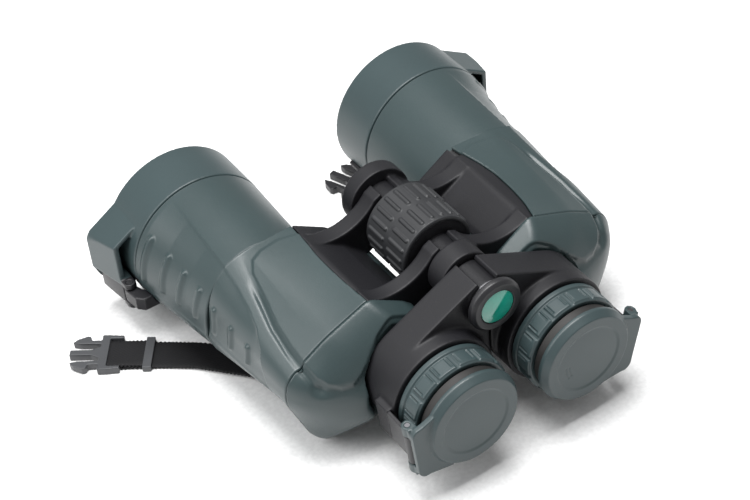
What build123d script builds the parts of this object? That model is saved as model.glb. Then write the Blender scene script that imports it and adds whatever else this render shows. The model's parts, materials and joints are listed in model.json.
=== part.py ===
from build123d import *
import math
import os

# Porro-prism binoculars lying level on a table, lens caps closed.
# +Y looks out of the objectives, +X is the user's right, Z = 0 is the table.
# A "station" is a distance in millimetres behind the front faces of the objective caps.

# ---- driving dimensions ----
LENGTH = 184.4
FRONT_Y = LENGTH / 2
OPTIC_Z = 33.0
OBJECTIVE_X = 59.5
EYEPIECE_X = 27.7
HINGE_Z = 61.6
RUNNING = 0.05
SLIP = 0.3

# objective end
CAP_R = 33.0
CAP_WALL = 2.4
CAP_DEPTH = 25.0
SPIGOT_LENGTH = 3.0
BARREL_END = 72.6
BARREL_REAR_R = 28.8
BARREL_REAR_X = 57.6
BARREL_REAR_Z = 33.6
BARREL_ARMOUR = 3.6
TUBE_WALL = 1.2
ARMOUR = 2.2
CASTING = 2.2
CAP_PIN_X = 95.5
CAP_PIN_STATION = 22.5
CAP_PIN_R = 1.3
CAP_KNUCKLE_R = 2.7
CAP_LUG_X = 102.5
LUG_REAR = 19.5

# prism housing
HOUSING_END = 130.0
PRISM_HALF = 18.0
PRISM_HALF_WIDTH = 6.4
SADDLE_X = 39.5
SADDLE_Z = 52.5
INNER_WALL_X = 9.0

# central hinge
HINGE_R = 8.8
KNUCKLE_R = 11.2
TOP_GAP_DEG = 23.0
BOTTOM_GAP_DEG = 3.0
FRONT_DISC = (72.0, 79.6)
FRONT_DISC_R = 14.6
FRONT_ARM = (80.0, 88.0)
WHEEL = (94.0, 121.4)
WHEEL_R = 17.3
WHEEL_CORE_R = 14.6
REAR_ARM = (122.4, 129.9)
REAR_RING = (131.2, 140.9)
REAR_RING_R = 12.0
JOURNAL_R = 6.0
SPINDLE_R = 4.0
SOCKET_R = 3.175
SOCKET_DEPTH = 8.0

# focusing bridge and eyepieces
BRIDGE = (141.2, 156.2)
HUB_END = 156.5
BOSS_END = 162.9
EYE_RING_R = 24.4
COLLAR = (156.5, 158.6)
EMBLEM_RING = (158.6, 162.5)
EMBLEM_RING_R = 12.0
EMBLEM_R = 7.7
TUBE_R = 13.0
TUBE = (118.0, 176.0)
GRIP_RING = (163.5, 174.8)
GRIP_RING_R = 22.6
EYECUP = (175.3, 181.7)
EYECUP_R = 20.1
EYE_CAP = (179.6, LENGTH)
EYE_CAP_R = 21.9
EYE_CAP_FACE_R = 19.4
EYE_CAP_WALL = 1.3
EYE_PIN_X = 53.5
EYE_PIN_STATION = 176.5
EYE_PIN_R = 1.1
WING_X = 55.2
WING_TILT = {"left": 5.0, "right": 14.0}
WING_Z = (OPTIC_Z - 15.5, OPTIC_Z + 11.5)
LINK_Z = (OPTIC_Z - 10.2, OPTIC_Z + 6.2)
BRACKET = (153.0, 162.0)

# neck-strap stubs
WEB_WIDTH = 16.0
WEB_THICK = 1.1
WEB_LIFT = 0.05
POST_X = 66.0
POST_STATION = 78.0
POST_R = 2.0
BUCKLE_WIDTH = 20.9
BUCKLE_THICK = 3.4

# Webbing centrelines in plan: (x, station), from the lug post to the buckle bar.
LEFT_ROUTE = [(-POST_X, POST_STATION), (-83.1, 56.1), (-96.0, 45.5), (-115.0, 31.7)]
RIGHT_ROUTE = [(POST_X, POST_STATION), (55.0, 65.0), (42.0, 33.0), (32.4, 7.0)]
KEEPER_SETBACK = {"left": 17.7, "right": 8.4}


# ---- helpers ----
def y_at(station):
    """Y of a station."""
    return FRONT_Y - station


def section_plane(station):
    """Cross-section plane: local x is +X, local y is +Z, and it faces the eyepieces."""
    return Plane(origin=(0, y_at(station), 0), x_dir=(1, 0, 0), z_dir=(0, -1, 0))


def slab(sketch, stations):
    """A cross-section sketch carried from one station to the next."""
    front, rear = stations
    return extrude(section_plane(front) * sketch, amount=rear - front)


def disc(x, z, radius):
    return Pos(x, z) * Circle(radius)


def rod(x, z, radius, stations, bore=0.0):
    """A round bar along Y, with an optional bore right through."""
    sketch = disc(x, z, radius)
    if bore:
        sketch -= disc(x, z, bore)
    return slab(sketch, stations)


def upright(x, station, radius, low, high, bore=0.0):
    """A round bar along Z."""
    sketch = Circle(radius)
    if bore:
        sketch -= Circle(bore)
    return Pos(x, y_at(station), low) * extrude(sketch, amount=high - low)


def block(x_span, stations, z_span):
    """An axis-aligned block."""
    (x0, x1), (front, rear), (z0, z1) = x_span, stations, z_span
    centre = ((x0 + x1) / 2, (y_at(front) + y_at(rear)) / 2, (z0 + z1) / 2)
    return Pos(*centre) * Box(x1 - x0, rear - front, z1 - z0)


def turned(points, x, z):
    """A closed (radius, station) outline revolved about a line along Y at x, z."""
    outline = make_face(Polyline(*[(r, y_at(s)) for r, s in points], close=True))
    return Pos(x, 0, z) * revolve(outline, axis=Axis.Y)


def rounded_outline(corners, radii):
    """A closed cross-section outline with one fillet radius for each corner."""
    return make_face(FilletPolyline(*corners, radius=radii, close=True))


def cone_between(start, end, stations, inset=0.0):
    """A round barrel between two circles given as (x, z, radius)."""
    front, rear = [disc(x, z, r - inset) for x, z, r in (start, end)]
    return loft([section_plane(stations[0]) * front, section_plane(stations[1]) * rear])


def on_side(shape, side):
    """Pieces are drawn on the right and mirrored for the left."""
    return mirror(shape, about=Plane.YZ) if side == "left" else shape


def save(name, shape):
    solids = shape.solids()
    if len(solids) == 1:
        export_step(solids[0], f"parts/{name}.step")
    else:
        export_step(Compound(children=list(solids)), f"parts/{name}.step")


# ---- objective barrel ----
BARREL_FRONT = (OBJECTIVE_X, OPTIC_Z, CAP_R - 0.1)
BARREL_REAR = (BARREL_REAR_X, BARREL_REAR_Z, BARREL_REAR_R)
BARREL = (CAP_DEPTH + 0.3, BARREL_END)
SPIGOT_R = CAP_R - CAP_WALL - SLIP


def barrel_armour():
    """Rubber sleeve over the tapered objective tube."""
    outer = cone_between(BARREL_FRONT, BARREL_REAR, BARREL)
    return outer - cone_between(BARREL_FRONT, BARREL_REAR, BARREL, BARREL_ARMOUR)


def objective_tube():
    """Tapered tube with the short conical spigot that the cap fits over."""
    tip = BARREL[0] - SPIGOT_LENGTH
    body = cone_between(BARREL_FRONT, BARREL_REAR, BARREL, BARREL_ARMOUR)
    spigot = cone_between(
        (OBJECTIVE_X, OPTIC_Z, SPIGOT_R - 1.3), (OBJECTIVE_X, OPTIC_Z, SPIGOT_R), (tip, BARREL[0])
    )
    bore = cone_between(BARREL_FRONT, BARREL_REAR, BARREL, BARREL_ARMOUR + TUBE_WALL)
    mouth = rod(OBJECTIVE_X, OPTIC_Z, 28.3, (tip, BARREL[0] + 0.5))
    return body + spigot - bore - mouth


def lens_face(radius, pole_y, rim_y):
    """Meridian of one lens face: an arc, or a straight line where the face is flat."""
    if pole_y == rim_y:
        return Line((0, pole_y), (radius, rim_y))
    middle_y = pole_y + (rim_y - pole_y) / 4
    return ThreePointArc((0, pole_y), (radius / 2, middle_y), (radius, rim_y))


def lens(x, z, radius, station, front_sag, thickness, rear_sag):
    """A lens; a positive sag bulges that face outwards, measured at the rim."""
    front_y = y_at(station)
    rear_y = front_y - thickness
    outline = lens_face(radius, front_y, front_y - front_sag)
    outline += Line((radius, front_y - front_sag), (radius, rear_y + rear_sag))
    outline += lens_face(radius, rear_y, rear_y + rear_sag)
    outline += Line((0, rear_y), (0, front_y))
    return Pos(x, 0, z) * revolve(make_face(outline), axis=Axis.Y)


def objective_doublet():
    """Crown and flint elements, a hair apart as cemented glass."""
    crown = lens(OBJECTIVE_X, OPTIC_Z, 25.0, 27.0, 3.0, 8.5, 2.4)
    flint = lens(OBJECTIVE_X, OPTIC_Z, 25.0, 35.52, -2.4, 3.6, -0.8)
    return Compound(children=[*crown.solids(), *flint.solids()])


def objective_cell():
    """Threaded ring that carries the doublet in the tube."""
    return turned(
        [(23.6, 25.6), (27.6, 25.6), (27.6, 26.9), (25.9, 26.9), (25.9, 41.2), (23.6, 41.2),
         (23.6, 40.0), (25.05, 40.0), (25.05, 26.8), (23.6, 26.8)],
        OBJECTIVE_X,
        OPTIC_Z,
    )


# ---- prism housing ----
# Outline corners as (x, z), from the saddle's upper edge round the outer side and back to its lower edge.
FRONT_CORNERS = [
    (SADDLE_X, 63.9), (60.0, 63.2), (83.6, 59.0), (86.0, 6.0), (57.0, 4.6), (12.0, 6.0),
    (INNER_WALL_X, 40.0), (24.5, 54.7),
]
FRONT_RADII = [5, 30, 24, 24, 30, 12, 7, 6]
REAR_CORNERS = [
    (SADDLE_X, 63.9), (60.0, 55.6), (80.6, 43.5), (81.8, 32.0), (69.5, 0.2), (12.0, 2.0),
    (INNER_WALL_X, 40.0), (24.5, 54.7),
]
REAR_RADII = [5, 40, 11, 16, 16, 12, 7, 6]


def housing_solid(inset, stations):
    """Solid between the round front section and the sloping rear section, inset all round."""
    front, rear = [
        offset(rounded_outline(corners, radii), amount=-inset, kind=Kind.INTERSECTION)
        if inset
        else rounded_outline(corners, radii)
        for corners, radii in ((FRONT_CORNERS, FRONT_RADII), (REAR_CORNERS, REAR_RADII))
    ]
    return loft([section_plane(stations[0]) * front, section_plane(stations[1]) * rear])


HOUSING = (BARREL_END, HOUSING_END)
housing_skin = housing_solid(0, HOUSING)
casting_skin = housing_solid(ARMOUR, HOUSING)
prism_space = housing_solid(ARMOUR + CASTING, (HOUSING[0] + 2.4, HOUSING[1] + 0.001))
saddle_zone = block((0, SADDLE_X), HOUSING, (SADDLE_Z, 90))


def housing_armour():
    return housing_skin - casting_skin - saddle_zone


def prism_housing():
    """Light-alloy casting, open at the rear, with the light hole from the barrel."""
    window = rod(BARREL_REAR_X, BARREL_REAR_Z, 23.0, (BARREL_END - 1, BARREL_END + 4))
    return casting_skin - prism_space - window


def prism(start, end, base, tip):
    """Right-angle prism whose long face at station base spans two beam axes and whose ridge is at tip."""
    (x0, z0), (x1, z1) = start, end
    along = Vector(x1 - x0, 0, z1 - z0).normalized()
    outline_plane = Plane(
        origin=((x0 + x1) / 2, y_at(base), (z0 + z1) / 2), x_dir=along, z_dir=along.cross(Vector(0, 1, 0))
    )
    rise = y_at(tip) - y_at(base)
    rise *= outline_plane.y_dir.Y
    outline = make_face(
        Polyline((-PRISM_HALF, 0), (PRISM_HALF, 0), (1.5, rise), (-1.5, rise), close=True)
    )
    return extrude(outline_plane * outline, amount=PRISM_HALF_WIDTH, both=True)


def prisms():
    """The two right-angle prisms: one folds the beam down and back, the other up and inwards."""
    middle_x = (OBJECTIVE_X + EYEPIECE_X) / 2
    middle = (middle_x, OPTIC_Z - (OBJECTIVE_X - middle_x))
    rear = prism((OBJECTIVE_X, OPTIC_Z), middle, 99.0, 116.0)
    front = prism(middle, (EYEPIECE_X, OPTIC_Z), 95.6, 78.6)
    return Compound(children=[*rear.solids(), *front.solids()])


def prism_shelf():
    """Plate across the casting between the two prisms."""
    plate = housing_solid(ARMOUR + CASTING + 0.3, HOUSING) & block((0, 120), (96.2, 98.4), (0, 90))
    windows = [
        rod(x, z, 9.0, (90, 100))
        for x, z in ((OBJECTIVE_X, OPTIC_Z), (43.6, 17.1), (EYEPIECE_X + 5.5, OPTIC_Z))
    ]
    for window in windows:
        plate -= window
    return plate


# ---- rear cover ----
COVER_STEPS = [(0.0, HOUSING_END), (2.2, 137.5), (6.0, 144.5), (11.5, 151.0), (19.0, 156.5)]
COVER_CENTRE = (62.0, 43.0)


def cover_section(inset, station, wall=0.0):
    """The housing's rear outline shrunk about the cover's crown."""
    scale_by = 1 - (inset + wall) / 30.0
    x, z = COVER_CENTRE
    outline = Pos(x, z) * scale(Pos(-x, -z) * rounded_outline(REAR_CORNERS, REAR_RADII), by=scale_by)
    return section_plane(station - wall * 0.8) * outline


def bridge_outline(growth=0.0):
    """Plan of one ocular arm: the hinge hub joined to the eyepiece ring."""
    hub = disc(0, HINGE_Z, KNUCKLE_R + growth)
    ring = disc(EYEPIECE_X, OPTIC_Z, EYE_RING_R + growth)
    return make_hull(hub.edges() + ring.edges())


def undercut(depth):
    """Wedge that slopes the cover's lower rear edge up from the table; depth sets it further in."""
    rise = depth * 1.4
    points = [(131.0, rise + 1.6), (170.0, rise + 42.5), (170.0, -5.0), (131.0, -5.0)]
    outline = make_face(Polyline(*[(y_at(station), z) for station, z in points], close=True))
    return extrude(Plane.YZ * outline, amount=120)


def tilted(shape, side):
    """The eye cap's hinge side leans down about the eyepiece axis."""
    about = Pos(EYEPIECE_X, 0, OPTIC_Z)
    return about * Rot(0, WING_TILT[side], 0) * Pos(-EYEPIECE_X, 0, -OPTIC_Z) * shape


def rear_cover(side):
    """Bulbous cover, scooped out where the ocular arm lies, with the eyepiece guide bore."""
    shell = loft([cover_section(inset, station) for inset, station in COVER_STEPS]) - undercut(0)
    hollow = loft([cover_section(inset, station, 3.2) for inset, station in COVER_STEPS]) - undercut(2.6)
    hollow &= block((0, 120), (125, 170), (0, 90))
    scoop = slab(bridge_outline(1.4), (BRIDGE[0] - 0.7, 175))
    inner, outer = EYEPIECE_X + 19.0, EYEPIECE_X + 27.6
    low, high = LINK_Z[0] - 0.8, LINK_Z[1] + 0.8
    scoop += tilted(block((inner, outer), (BRACKET[0] - 0.8, 175), (low, high)), side)
    floor = slab(bridge_outline(4.0), (BRIDGE[0] - 3.2, 175))
    floor += tilted(block((inner, outer + 2.4), (BRACKET[0] - 3.2, 175), (low - 2.4, high + 2.4)), side)
    guide = rod(EYEPIECE_X, OPTIC_Z, TUBE_R + 2.4, (131, BRIDGE[0] - 1.5))
    bore = rod(EYEPIECE_X, OPTIC_Z, TUBE_R + RUNNING, (120, 160))
    return shell - (hollow - floor - guide) - scoop - bore


# ---- central bridge frames ----
def arm_outline(bore):
    """One half of the saddle-shaped web from the hinge knuckle out to the housing."""
    top, bottom = math.radians(90 - TOP_GAP_DEG), math.radians(-90 + BOTTOM_GAP_DEG)
    tip = (KNUCKLE_R * math.cos(top), HINGE_Z + KNUCKLE_R * math.sin(top))
    heel = (KNUCKLE_R * math.cos(bottom), HINGE_Z + KNUCKLE_R * math.sin(bottom))
    edge = Line((0, HINGE_Z), tip)
    edge += Line(tip, (7.9, 70.1))
    edge += ThreePointArc((7.9, 70.1), (20.0, 61.4), (SADDLE_X, 63.9))
    edge += Polyline((SADDLE_X, 63.9), (SADDLE_X, 42.0), (16.0, 42.0), (9.0, 46.0), heel, (0, HINGE_Z))
    return make_face(edge) - disc(0, HINGE_Z, bore)


def bridge_frame(bore):
    """Saddle plate on the housing with its front and rear arms."""
    saddle = (housing_skin - casting_skin) & saddle_zone
    frame = saddle
    for stations in (FRONT_ARM, REAR_ARM):
        frame += slab(arm_outline(bore), stations) - housing_skin
    return frame


def left_bridge_frame():
    return mirror(bridge_frame(HINGE_R), about=Plane.YZ)


def right_bridge_frame():
    """The right frame also carries the front disc and the rear ring that turn on the hinge tubes."""
    bore = HINGE_R + RUNNING
    frame = bridge_frame(bore)
    frame += rod(0, HINGE_Z, FRONT_DISC_R, FRONT_DISC, bore)
    frame += rod(0, HINGE_Z, REAR_RING_R, REAR_RING, bore)
    sector = arm_outline(bore) & disc(0, HINGE_Z, KNUCKLE_R + 2)
    frame += slab(sector, (FRONT_DISC[1] - 0.5, FRONT_ARM[0] + 0.5))
    frame += slab(sector, (REAR_ARM[1] - 0.5, REAR_RING[0] + 0.5))
    return frame


def front_hinge_tube():
    """Fixed in the left frame; the right frame's disc turns on it."""
    return turned(
        [(JOURNAL_R, 71.6), (HINGE_R, 71.6), (HINGE_R, 92.0), (JOURNAL_R + RUNNING, 92.0),
         (JOURNAL_R + RUNNING, 82.0), (JOURNAL_R, 82.0)],
        0,
        HINGE_Z,
    )


def rear_hinge_tube():
    return turned(
        [(SPINDLE_R + RUNNING, 131.0), (JOURNAL_R + RUNNING, 131.0), (JOURNAL_R + RUNNING, 122.0),
         (HINGE_R, 122.0), (HINGE_R, 140.9), (SPINDLE_R + RUNNING, 140.9)],
        0,
        HINGE_Z,
    )


def tripod_insert():
    """Brass insert in the front of the hinge with the 1/4 inch tripod socket."""
    plug = rod(0, HINGE_Z, JOURNAL_R, (71.6, 81.8))
    return plug - rod(0, HINGE_Z, SOCKET_R, (71.0, 71.6 + SOCKET_DEPTH))


# ---- focusing ----
def focus_hub():
    """Metal core that turns in both hinge tubes and drives the spindle by its thread."""
    core = rod(0, HINGE_Z, WHEEL_CORE_R, WHEEL)
    core += rod(0, HINGE_Z, JOURNAL_R, (83.0, 130.6))
    core += rod(0, HINGE_Z, HINGE_R, (WHEEL[0] - 1.4, WHEEL[1] + 0.3))
    return core - rod(0, HINGE_Z, SPINDLE_R + RUNNING, (90.0, 131.0))


def focus_grip():
    """Rubber sleeve with two staggered rows of raised bars."""
    crown = turned(
        [(WHEEL_CORE_R, WHEEL[0]), (WHEEL_R - 0.7, WHEEL[0]), (WHEEL_R - 0.4, WHEEL[0] + 2),
         (WHEEL_R - 0.4, WHEEL[1] - 2), (WHEEL_R - 0.7, WHEEL[1]), (WHEEL_CORE_R, WHEEL[1])],
        0,
        HINGE_Z,
    )
    bars = 24
    for row, stations in enumerate(((95.6, 106.4), (109.0, 119.8))):
        for index in range(bars):
            bar = block((-0.7, 0.7), stations, (WHEEL_R - 0.9, WHEEL_R))
            turn = (index + row / 2) * 360 / bars
            crown += Pos(0, 0, HINGE_Z) * Rot(0, turn, 0) * bar
    return crown


def spindle():
    """Focusing screw, fixed to the bridge hub."""
    return rod(0, HINGE_Z, SPINDLE_R, (100.0, HUB_END))


def bridge_hub():
    return rod(0, HINGE_Z, HINGE_R, (BRIDGE[0], HUB_END), SPINDLE_R)


def ocular_arm(side, bore):
    """Arm from the hub to the eyepiece, with a round boss and the eye cap's bracket on it."""
    arm = slab(bridge_outline(), BRIDGE)
    top = math.radians(90 - TOP_GAP_DEG)
    reach = 60.0
    keep = make_face(
        Polyline(
            (0.35, -10), (0.35, HINGE_Z),
            (0.35 + reach * math.cos(top), HINGE_Z + reach * math.sin(top)),
            (100, 100), (100, -10), close=True,
        )
    )
    arm &= slab(keep, (130, 170))
    arm -= rod(0, HINGE_Z, bore, (130, 170))
    arm += rod(EYEPIECE_X, OPTIC_Z, EYE_RING_R, (BRIDGE[1] - 1, BOSS_END))
    arm += tilted(block((EYEPIECE_X + 20.0, EYEPIECE_X + 26.4), BRACKET, LINK_Z), side)
    arm -= rod(0, HINGE_Z, EMBLEM_RING_R + 0.8, (BRIDGE[1], 170))
    return arm - rod(EYEPIECE_X, OPTIC_Z, TUBE_R + RUNNING, (130, 170))


def chrome_collar():
    return rod(0, HINGE_Z, 9.4, COLLAR)


def emblem_ring():
    front, rear = EMBLEM_RING
    return turned(
        [(EMBLEM_R, rear), (10.6, rear), (EMBLEM_RING_R, rear - 1.4), (EMBLEM_RING_R, front), (0, front),
         (0, front + 1.6), (EMBLEM_R, front + 1.6)],
        0,
        HINGE_Z,
    )


def emblem_dome():
    return lens(0, HINGE_Z, EMBLEM_R - 0.1, EMBLEM_RING[0] + 1.6, 0.0, 3.1, 1.2)


# ---- eyepieces ----
def eyepiece_tube():
    front, rear = TUBE
    return turned(
        [(11.6, front), (TUBE_R, front), (TUBE_R, rear), (18.2, rear), (18.2, rear + 2.4),
         (12.4, rear + 2.4), (12.4, rear), (11.6, rear)],
        EYEPIECE_X,
        OPTIC_Z,
    )


def eyepiece_lenses():
    """Field lens group at the front of the tube and eye lens at the rear."""
    field = lens(EYEPIECE_X, OPTIC_Z, 11.5, 120.0, 1.6, 5.5, 0.0)
    eye = lens(EYEPIECE_X, OPTIC_Z, 11.5, 168.5, 1.2, 6.0, 1.0)
    return Compound(children=[*field.solids(), *eye.solids()])


def eyepiece_ring():
    """Ribbed ring with rectangular pads, a hollow sleeve round the eyepiece tube."""
    front, rear = GRIP_RING
    sleeve = turned(
        [(TUBE_R + RUNNING, front), (GRIP_RING_R - 0.5, front), (GRIP_RING_R - 0.5, rear), (18.6, rear),
         (18.6, front + 3.0), (TUBE_R + RUNNING, front + 3.0)],
        EYEPIECE_X,
        OPTIC_Z,
    )
    pads = 14
    for index in range(pads):
        pad = block((-3.0, 3.0), (front + 2.4, rear - 1.6), (GRIP_RING_R - 1.6, GRIP_RING_R))
        sleeve += Pos(EYEPIECE_X, 0, OPTIC_Z) * Rot(0, index * 360 / pads, 0) * pad
    return sleeve


def eyecup():
    front, rear = EYECUP
    return turned(
        [(18.25, front), (EYECUP_R, front), (EYECUP_R, rear - 1.0), (EYECUP_R - 1.0, rear), (16.4, rear),
         (14.0, rear - 1.8), (14.0, TUBE[1] + 2.45), (18.25, TUBE[1] + 2.45)],
        EYEPIECE_X,
        OPTIC_Z,
    )


def eye_cap(side):
    """Shallow cup with a bevelled face and a hinge wing on its outer side."""
    front, rear = EYE_CAP
    inner = EYE_CAP_R - EYE_CAP_WALL
    cup = turned(
        [(inner, front), (EYE_CAP_R, front), (EYE_CAP_R, rear - 3.1), (EYE_CAP_FACE_R + 0.6, rear), (0, rear),
         (0, rear - 1.8), (inner - 1.0, rear - 1.8), (inner, rear - 2.8)],
        EYEPIECE_X,
        OPTIC_Z,
    )
    low, high = WING_Z
    root = EYEPIECE_X + 12
    wing_outline = make_face(
        Polyline(
            (root, high + 3.5), (50.0, high + 0.5), (WING_X, high), (WING_X, low), (50.0, low - 0.5),
            (root, low - 3.5), close=True,
        )
    )
    wing = slab(wing_outline, (rear - 4.6, rear - 2.0))
    knuckles = Part()
    for start in (low, high - 5.0):
        knuckles += upright(EYE_PIN_X, EYE_PIN_STATION, 2.5, start, start + 5.0)
        span = (EYE_PIN_X - 2.5, WING_X)
        knuckles += block(span, (EYE_PIN_STATION, rear - 3.0), (start, start + 5.0))
    hole = upright(EYE_PIN_X, EYE_PIN_STATION, EYE_PIN_R + RUNNING, 0, 90)
    inside = rod(EYEPIECE_X, OPTIC_Z, inner, (front - 6, rear - 2.6))
    inside += rod(EYEPIECE_X, OPTIC_Z, inner - 1.0, (front - 6, rear - 1.8))
    return cup + (tilted(wing + knuckles - hole, side) - inside)


def eye_cap_arm(side):
    """Flat link from the bracket on the ocular arm back to the cap's pin."""
    strip = block((EYEPIECE_X + 24.9, EYEPIECE_X + 26.4), (BRACKET[1], EYE_PIN_STATION), LINK_Z)
    eye = upright(EYE_PIN_X, EYE_PIN_STATION, 2.3, *LINK_Z)
    return tilted(strip + eye - upright(EYE_PIN_X, EYE_PIN_STATION, EYE_PIN_R, 0, 90), side)


def eye_cap_pin(side):
    return tilted(upright(EYE_PIN_X, EYE_PIN_STATION, EYE_PIN_R, WING_Z[0] + 0.2, WING_Z[1] - 0.2), side)


# ---- objective cap ----
LUG_ROOT_X = OBJECTIVE_X + 22.0
LUG_WALL = 2.4
LUG_TAPER = 4.4
KNUCKLES_Z = (OPTIC_Z - 19.5, OPTIC_Z - 9.0)
KNUCKLE_HEIGHT = 3.0


def lug_outside(inset):
    """Everything beyond the lug's outer face, which narrows towards the rear."""
    face = CAP_LUG_X - inset
    taper = [(face, 0.0), (face - LUG_TAPER, LUG_REAR), (face - LUG_TAPER, 30.0), (120.0, 30.0), (120.0, 0.0)]
    return extrude(make_face(Polyline(*[(x, y_at(station)) for x, station in taper], close=True)), amount=90)


def objective_cap():
    """Cup over the barrel's spigot, with a hollow hinge lug on its outer side."""
    cup = rod(OBJECTIVE_X, OPTIC_Z, CAP_R, (0, CAP_DEPTH))
    inside = rod(OBJECTIVE_X, OPTIC_Z, CAP_R - CAP_WALL, (CAP_WALL, CAP_DEPTH))
    low, high = OPTIC_Z - 25, OPTIC_Z + 22
    plate_outline = make_face(
        Polyline(
            (LUG_ROOT_X, high), (CAP_LUG_X, OPTIC_Z + 9.6), (CAP_LUG_X, OPTIC_Z - 8),
            (CAP_LUG_X - 2.5, OPTIC_Z - 14.5), (CAP_LUG_X - 8.5, OPTIC_Z - 20), (LUG_ROOT_X, low), close=True,
        )
    )
    roof_outline = make_face(
        Polyline(
            (LUG_ROOT_X, high), (CAP_LUG_X, OPTIC_Z + 9.6), (CAP_LUG_X, KNUCKLES_Z[1]),
            (LUG_ROOT_X, KNUCKLES_Z[1]), close=True,
        )
    )
    room_outline = make_face(
        Polyline(
            (LUG_ROOT_X, high - LUG_WALL), (CAP_LUG_X, OPTIC_Z + 9.6 - LUG_WALL), (CAP_LUG_X, 0),
            (LUG_ROOT_X, 0), close=True,
        )
    )
    roof = slab(roof_outline, (0, LUG_REAR))
    roof -= slab(room_outline, (LUG_WALL, LUG_REAR + 1)) - lug_outside(LUG_WALL)
    lug = slab(plate_outline, (0, LUG_WALL)) + roof
    for bottom in KNUCKLES_Z:
        top = bottom + KNUCKLE_HEIGHT
        lug += upright(CAP_PIN_X, CAP_PIN_STATION, CAP_KNUCKLE_R, bottom, top)
        span = (CAP_PIN_X - CAP_KNUCKLE_R, CAP_PIN_X + CAP_KNUCKLE_R)
        lug += block(span, (1.0, CAP_PIN_STATION), (bottom, top))
    lug -= lug_outside(0)
    lug -= upright(CAP_PIN_X, CAP_PIN_STATION, CAP_PIN_R + RUNNING, 0, 90)
    return cup + lug - inside


def cap_bracket():
    """Bracket on the barrel's outer side that carries the cap's hinge pin."""
    z_span = (KNUCKLES_Z[0] + KNUCKLE_HEIGHT + 0.4, KNUCKLES_Z[1] - 0.4)
    arm = upright(CAP_PIN_X, CAP_PIN_STATION, CAP_KNUCKLE_R - 0.2, *z_span)
    outline = make_face(
        Polyline(
            (CAP_PIN_X - 2.5, y_at(CAP_PIN_STATION)), (CAP_PIN_X + 2.5, y_at(CAP_PIN_STATION)),
            (CAP_PIN_X + 1.5, y_at(30)), (OBJECTIVE_X + 27, y_at(42)), (OBJECTIVE_X + 22, y_at(42)),
            (OBJECTIVE_X + 22, y_at(28)), (CAP_PIN_X - 4.0, y_at(27)), close=True,
        )
    )
    arm += Pos(0, 0, z_span[0]) * extrude(outline, amount=z_span[1] - z_span[0])
    arm -= cone_between(BARREL_FRONT, BARREL_REAR, BARREL)
    arm -= rod(OBJECTIVE_X, OPTIC_Z, CAP_R + SLIP, (0, BARREL[0] + 0.001))
    return arm - upright(CAP_PIN_X, CAP_PIN_STATION, CAP_PIN_R, 0, 90)


def cap_pin():
    top = KNUCKLES_Z[1] + KNUCKLE_HEIGHT - 0.2
    return upright(CAP_PIN_X, CAP_PIN_STATION, CAP_PIN_R, KNUCKLES_Z[0] + 0.2, top)


# ---- neck-strap stubs ----
def plan_ribbon(route, width, low, high):
    """A flat band laid along a plan route."""
    line = Polyline(*[(x, y_at(s)) for x, s in route])
    outline = trace(line, line_width=width)
    return Pos(0, 0, low) * extrude(outline, amount=high - low)


def strap_lug():
    """Post and washer under the housing's outer corner."""
    post = upright(POST_X, POST_STATION, POST_R, 0.1, 16.0)
    post += upright(POST_X, POST_STATION, 3.6, WEB_THICK + 0.5, 16.0)
    return post - housing_skin


def webbing(route):
    """Single ply from the lug to the keeper, two plies from there to the buckle."""
    band = plan_ribbon(route, WEB_WIDTH, WEB_LIFT, WEB_LIFT + WEB_THICK)
    x, station = route[0]
    band += upright(x, station, WEB_WIDTH / 2, WEB_LIFT, WEB_LIFT + WEB_THICK)
    band -= upright(x, station, POST_R + SLIP, -1, 10)
    upper = plan_ribbon(route[-2:], WEB_WIDTH - 0.6, WEB_LIFT, WEB_LIFT + 2 * WEB_THICK)
    return band + upper


def strap_frame(route):
    """Local frame at the buckle bar: x along the strap, y across it."""
    (x0, s0), (x1, s1) = route[-2:]
    along = Vector(x1 - x0, y_at(s1) - y_at(s0), 0).normalized()
    return Plane(origin=(x1, y_at(s1), 0), x_dir=along, z_dir=(0, 0, 1))


def keeper(route, setback):
    """Rectangular loop that holds the two plies together."""
    plies = 2 * WEB_THICK
    outer = Pos(0, 0, WEB_LIFT + plies / 2 + 0.35) * Box(3.9, WEB_WIDTH + 2.4, plies + 0.8)
    inner = Pos(0, 0, WEB_LIFT + plies / 2 - 1) * Box(5.0, WEB_WIDTH + 0.2, plies + 2.1)
    return strap_frame(route) * Pos(-setback, 0, 0) * (outer - inner)


def buckle(route):
    """Male half of a side-release buckle: slotted frame, two barbed prongs and a guide blade."""
    half = BUCKLE_WIDTH / 2
    barb = [
        (3.7, half - 3.2), (8.0, half - 3.2), (8.8, half - 0.9), (10.2, half - 0.5), (14.5, half - 2.4),
        (16.4, half - 4.4), (13.0, half - 5.2), (3.7, half - 5.4),
    ]
    body = make_face(Polyline((0, -half), (3.7, -half), (3.7, half), (0, half), close=True))
    for side in (1, -1):
        rail = [(-5.9, side * (half - 0.6)), (1.0, side * half), (1.0, side * (half - 2.2))]
        rail.append((-5.9, side * (half - 2.2)))
        body += make_face(Polyline(*[(x, side * y) for x, y in barb], close=True))
        body += make_face(Polyline(*rail, close=True))
    blade = [(3.7, -3.4), (7.5, -1.6), (17.0, -1.6), (17.0, 1.6), (7.5, 1.6), (3.7, 3.4)]
    body += make_face(Polyline(*blade, close=True))
    return strap_frame(route) * Pos(0, 0, 0.2) * extrude(body, amount=BUCKLE_THICK)


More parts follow.
